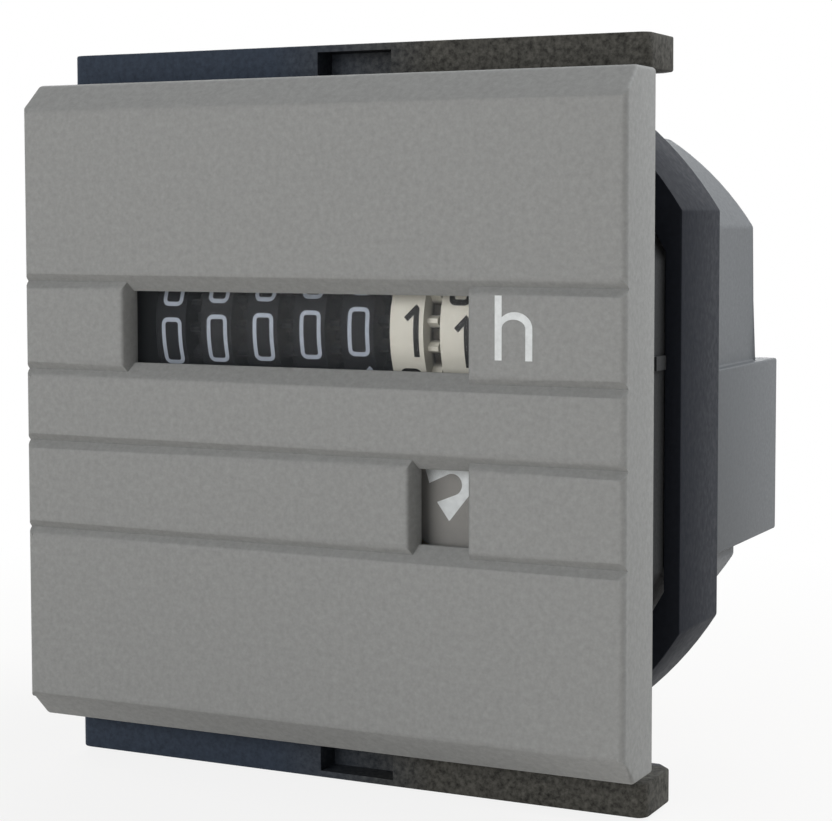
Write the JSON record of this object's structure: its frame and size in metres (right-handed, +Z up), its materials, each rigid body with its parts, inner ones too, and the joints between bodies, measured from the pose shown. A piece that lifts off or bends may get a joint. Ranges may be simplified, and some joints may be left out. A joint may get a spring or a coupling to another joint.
{
  "type": "hour meter",
  "caption": "Square panel-mount hour meter: grooved bezel with drum counter and run indicator, synchronous motor and gear train in a round-cornered case, and a slide-on clamp frame.",
  "frame": {"origin": "middle of the bezel's back plane, where the panel's front face lies", "axes": "+X to the right seen from the front, +Y to the rear along the case, +Z up"},
  "size_m": [0.0482, 0.0436, 0.054],
  "materials": {
    "bezel_plastic": "fine matt moulding",
    "clear_pane": "clear polished",
    "case_plastic": "satin moulding",
    "clamp_plastic": "satin moulding",
    "frame_steel": "plain zinc",
    "screw_steel": "zinc plated",
    "shaft_steel": "ground",
    "wheel_black": "matt, printed digits",
    "wheel_cream": "matt, printed digits",
    "gear_plastic": "natural acetal",
    "train_plastic": "natural acetal",
    "worm_brass": "turned",
    "indicator_plastic": "matt, printed arrow",
    "plate_brass": "rolled sheet",
    "magnet": "bonded ferrite",
    "stator_steel": "zinc plated",
    "bobbin_plastic": "plain",
    "coil_copper": "enamelled wire",
    "lead_insulation": "wire insulation",
    "terminal_brass": "plain"
  },
  "bodies": {
    "meter": {"front_bezel": "bezel_plastic", "window_pane": "clear_pane", "meter_case": "case_plastic", "counter_frame": "frame_steel", "frame_screws": "screw_steel", "wheel_axle": "shaft_steel", "pinion_axle": "shaft_steel", "gear_plate_front": "plate_brass", "gear_plate_rear": "plate_brass", "plate_posts": "frame_steel", "stator_cup": "stator_steel", "pole_plate": "stator_steel", "coil_bobbin": "bobbin_plastic", "coil_winding": "coil_copper", "coil_lead_left": "lead_insulation", "coil_lead_right": "lead_insulation", "terminal_left": "terminal_brass", "terminal_right": "terminal_brass", "wire_washer_left": "screw_steel", "wire_washer_right": "screw_steel", "terminal_screw_left": "screw_steel", "terminal_screw_right": "screw_steel"},
    "clamp": {"clamp_frame": "clamp_plastic"},
    "rotor": {"motor_rotor": "magnet"},
    "layshaft": {"layshaft_gear": "train_plastic"},
    "indicator": {"indicator_disc": "indicator_plastic", "indicator_arbor": "shaft_steel", "link_gear": "gear_plastic", "indicator_gear": "train_plastic"},
    "worm": {"worm_shaft": "worm_brass"},
    "counter_drive": {"counter_drive_wheel": "gear_plastic"},
    "wheel_1": {"number_wheel_1": "wheel_black"},
    "wheel_2": {"number_wheel_2": "wheel_black"},
    "wheel_3": {"number_wheel_3": "wheel_black"},
    "wheel_4": {"number_wheel_4": "wheel_black"},
    "wheel_5": {"number_wheel_5": "wheel_black"},
    "wheel_6": {"number_wheel_6": "wheel_cream"},
    "wheel_7": {"number_wheel_7": "wheel_cream"},
    "pinion_1": {"transfer_pinion_1": "gear_plastic"},
    "pinion_2": {"transfer_pinion_2": "gear_plastic"},
    "pinion_3": {"transfer_pinion_3": "gear_plastic"},
    "pinion_4": {"transfer_pinion_4": "gear_plastic"},
    "pinion_5": {"transfer_pinion_5": "gear_plastic"},
    "pinion_6": {"transfer_pinion_6": "gear_plastic"}
  },
  "joints": [
    {"name": "clamp_slide", "type": "slide", "parent": "meter", "child": "clamp", "axis": [0, 1, 0], "range_m": [0, 0.042]},
    {"name": "motor_spin", "type": "hinge", "parent": "meter", "child": "rotor", "pos_m": [-0.00212, 0.025, -0.00014], "axis": [0, 1, 0], "continuous": true},
    {"name": "layshaft_spin", "type": "hinge", "parent": "meter", "child": "layshaft", "pos_m": [0.00577, 0.018, 0.00273], "axis": [0, -1, 0], "continuous": true},
    {"name": "indicator_spin", "type": "hinge", "parent": "meter", "child": "indicator", "pos_m": [0.01013, 0.01, -0.0048], "axis": [0, -1, 0], "continuous": true},
    {"name": "worm_spin", "type": "hinge", "parent": "meter", "child": "worm", "pos_m": [0.0152, 0.008, -0.00675], "axis": [0, -1, 0], "continuous": true},
    {"name": "counter_drive_spin", "type": "hinge", "parent": "meter", "child": "counter_drive", "pos_m": [0.0152, 0.00833, -0.00115], "axis": [-1, 0, 0], "continuous": true},
    {"name": "wheel_7_spin", "type": "hinge", "parent": "meter", "child": "wheel_7", "pos_m": [0.0105, 0.0042, 0.006], "axis": [-1, 0, 0], "continuous": true},
    {"name": "wheel_6_spin", "type": "hinge", "parent": "meter", "child": "wheel_6", "pos_m": [0.0066, 0.0042, 0.006], "axis": [-1, 0, 0], "continuous": true},
    {"name": "wheel_5_spin", "type": "hinge", "parent": "meter", "child": "wheel_5", "pos_m": [0.0027, 0.0042, 0.006], "axis": [-1, 0, 0], "continuous": true},
    {"name": "wheel_4_spin", "type": "hinge", "parent": "meter", "child": "wheel_4", "pos_m": [-0.0012, 0.0042, 0.006], "axis": [-1, 0, 0], "continuous": true},
    {"name": "wheel_3_spin", "type": "hinge", "parent": "meter", "child": "wheel_3", "pos_m": [-0.0051, 0.0042, 0.006], "axis": [-1, 0, 0], "continuous": true},
    {"name": "wheel_2_spin", "type": "hinge", "parent": "meter", "child": "wheel_2", "pos_m": [-0.009, 0.0042, 0.006], "axis": [-1, 0, 0], "continuous": true},
    {"name": "wheel_1_spin", "type": "hinge", "parent": "meter", "child": "wheel_1", "pos_m": [-0.0129, 0.0042, 0.006], "axis": [-1, 0, 0], "continuous": true},
    {"name": "pinion_6_spin", "type": "hinge", "parent": "meter", "child": "pinion_6", "pos_m": [0.00855, 0.00833, -0.00115], "axis": [-1, 0, 0], "continuous": true},
    {"name": "pinion_5_spin", "type": "hinge", "parent": "meter", "child": "pinion_5", "pos_m": [0.00465, 0.00833, -0.00115], "axis": [-1, 0, 0], "continuous": true},
    {"name": "pinion_4_spin", "type": "hinge", "parent": "meter", "child": "pinion_4", "pos_m": [0.00075, 0.00833, -0.00115], "axis": [-1, 0, 0], "continuous": true},
    {"name": "pinion_3_spin", "type": "hinge", "parent": "meter", "child": "pinion_3", "pos_m": [-0.00315, 0.00833, -0.00115], "axis": [-1, 0, 0], "continuous": true},
    {"name": "pinion_2_spin", "type": "hinge", "parent": "meter", "child": "pinion_2", "pos_m": [-0.00705, 0.00833, -0.00115], "axis": [-1, 0, 0], "continuous": true},
    {"name": "pinion_1_spin", "type": "hinge", "parent": "meter", "child": "pinion_1", "pos_m": [-0.01095, 0.00833, -0.00115], "axis": [-1, 0, 0], "continuous": true}
  ],
  "couplings": [
    {"joint": "layshaft_spin", "follows": "motor_spin", "ratio": 0.16667},
    {"joint": "indicator_spin", "follows": "motor_spin", "ratio": -0.026667},
    {"joint": "worm_spin", "follows": "motor_spin", "ratio": 0.026667},
    {"joint": "counter_drive_spin", "follows": "motor_spin", "ratio": -0.0011111},
    {"joint": "wheel_7_spin", "follows": "motor_spin", "ratio": 0.00044444},
    {"joint": "wheel_6_spin", "follows": "motor_spin", "ratio": 0.000044444},
    {"joint": "wheel_5_spin", "follows": "motor_spin", "ratio": 0.0000044444},
    {"joint": "wheel_4_spin", "follows": "motor_spin", "ratio": 0.00000044444},
    {"joint": "wheel_3_spin", "follows": "motor_spin", "ratio": 0.000000044444},
    {"joint": "wheel_2_spin", "follows": "motor_spin", "ratio": 0.0000000044444},
    {"joint": "wheel_1_spin", "follows": "motor_spin", "ratio": 0.00000000044444},
    {"joint": "pinion_6_spin", "follows": "motor_spin", "ratio": -0.00011111},
    {"joint": "pinion_5_spin", "follows": "motor_spin", "ratio": -0.000011111},
    {"joint": "pinion_4_spin", "follows": "motor_spin", "ratio": -0.0000011111},
    {"joint": "pinion_3_spin", "follows": "motor_spin", "ratio": -0.00000011111},
    {"joint": "pinion_2_spin", "follows": "motor_spin", "ratio": -0.000000011111},
    {"joint": "pinion_1_spin", "follows": "motor_spin", "ratio": -0.0000000011111}
  ]
}
